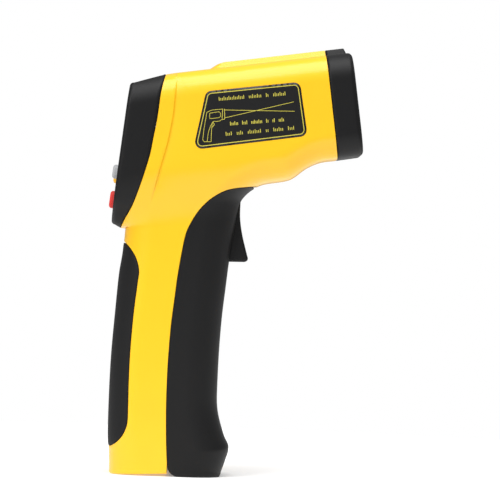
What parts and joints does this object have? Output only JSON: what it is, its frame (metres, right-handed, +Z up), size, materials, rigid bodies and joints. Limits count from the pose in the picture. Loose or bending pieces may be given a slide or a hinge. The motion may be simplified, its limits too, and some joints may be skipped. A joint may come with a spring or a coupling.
{
  "type": "infrared thermometer",
  "caption": "Pistol-grip infrared thermometer with a two-colour case, rear display and keys, laser pointer, trigger and a hinged battery door in the grip.",
  "frame": {"origin": "middle of the flat foot that the handle stands on, on the plane that cuts the case into halves", "axes": "+X towards the nose, level when it stands on its foot; +Y to the left of someone who holds it; +Z up the handle. The barrel points 8.5 degrees above +X."},
  "size_m": [0.0905, 0.043, 0.1551],
  "materials": {
    "yellow_abs": "satin moulded",
    "black_abs": "fine satin moulded",
    "grip_rubber": "matte",
    "window_acrylic": "polished",
    "lcd_glass": "smooth",
    "diffuser": "translucent",
    "connector_rubber": "striped",
    "circuit_board": "solder mask over glass cloth",
    "components": "moulded",
    "screw_steel": "zinc plated",
    "tube_abs": "matte",
    "lens_plastic": "milky, finely ribbed",
    "ring_steel": "bright",
    "ribbon": "matte",
    "laser_brass": "turned",
    "laser_glass": "polished",
    "red_wire": "smooth",
    "black_wire": "smooth",
    "label_film": "printed film",
    "pin_steel": "ground",
    "spring_steel": "drawn wire",
    "white_nylon": "moulded",
    "pad_foam": "open-cell foam",
    "battery_can": "lacquered steel can",
    "terminal_nickel": "nickel plated",
    "snap_vinyl": "soft vinyl",
    "grey_rubber": "satin",
    "yellow_rubber": "satin",
    "red_rubber": "satin"
  },
  "bodies": {
    "case": {"right_shell": "yellow_abs", "left_shell": "yellow_abs", "display_housing": "black_abs", "display_bezel": "black_abs", "nose_cap": "black_abs", "rear_grip": "grip_rubber", "display_window": "window_acrylic", "lcd_panel": "lcd_glass", "lcd_backlight": "diffuser", "lcd_connectors": "connector_rubber", "display_board": "circuit_board", "sensor_board": "circuit_board", "switch_board": "circuit_board", "board_chips": "components", "key_switches": "components", "buzzer": "components", "trigger_switch": "components", "board_screws": "screw_steel", "case_screws": "screw_steel", "lens_shroud": "tube_abs", "lens_tube": "tube_abs", "aperture_stop": "tube_abs", "optics_frame": "tube_abs", "ir_lens": "lens_plastic", "lens_ring": "ring_steel", "ir_sensor": "ring_steel", "sensor_cable": "ribbon", "laser_module": "laser_brass", "laser_window": "laser_glass", "laser_leads": "red_wire", "battery_lead_red": "red_wire", "battery_lead_black": "black_wire", "label_right": "label_film", "label_left": "label_film", "trigger_pin": "pin_steel", "trigger_spring": "spring_steel", "battery": "battery_can", "battery_terminals": "terminal_nickel", "battery_snap": "snap_vinyl"},
    "trigger": {"trigger": "black_abs"},
    "switch_plunger": {"switch_plunger": "white_nylon"},
    "battery_door": {"battery_door": "black_abs", "door_pin": "pin_steel", "battery_pad": "pad_foam"},
    "grey_key": {"grey_key": "grey_rubber", "grey_plunger": "white_nylon"},
    "yellow_key": {"yellow_key": "yellow_rubber", "yellow_plunger": "white_nylon"},
    "red_key": {"red_key": "red_rubber", "red_plunger": "white_nylon"}
  },
  "joints": [
    {"name": "trigger_pull", "type": "hinge", "parent": "case", "child": "trigger", "pos_m": [0.0073, 0, 0.1055], "axis": [0, 1, 0], "range_deg": [0, 7], "stiffness_Nm_per_rad": 0.15, "springref_deg": -5.73, "deforming": ["trigger_spring"]},
    {"name": "plunger_slide", "type": "slide", "parent": "case", "child": "switch_plunger", "axis": [-1, 0, 0], "range_m": [0, 0.00105]},
    {"name": "door_swing", "type": "hinge", "parent": "case", "child": "battery_door", "pos_m": [-0.0075, 0, 0.004], "axis": [0, 1, 0], "range_deg": [0, 55]},
    {"name": "grey_key_press", "type": "slide", "parent": "case", "child": "grey_key", "axis": [0.9945, 0, -0.1045], "range_m": [0, 0.0006], "stiffness_N_per_m": 600, "springref_m": -0.0006},
    {"name": "yellow_key_press", "type": "slide", "parent": "case", "child": "yellow_key", "axis": [0.9945, 0, -0.1045], "range_m": [0, 0.0006], "stiffness_N_per_m": 600, "springref_m": -0.0006},
    {"name": "red_key_press", "type": "slide", "parent": "case", "child": "red_key", "axis": [0.9945, 0, -0.1045], "range_m": [0, 0.0006], "stiffness_N_per_m": 600, "springref_m": -0.0006}
  ],
  "couplings": [
    {"joint": "plunger_slide", "follows": "trigger_pull", "m_per_rad": 0.0085}
  ]
}
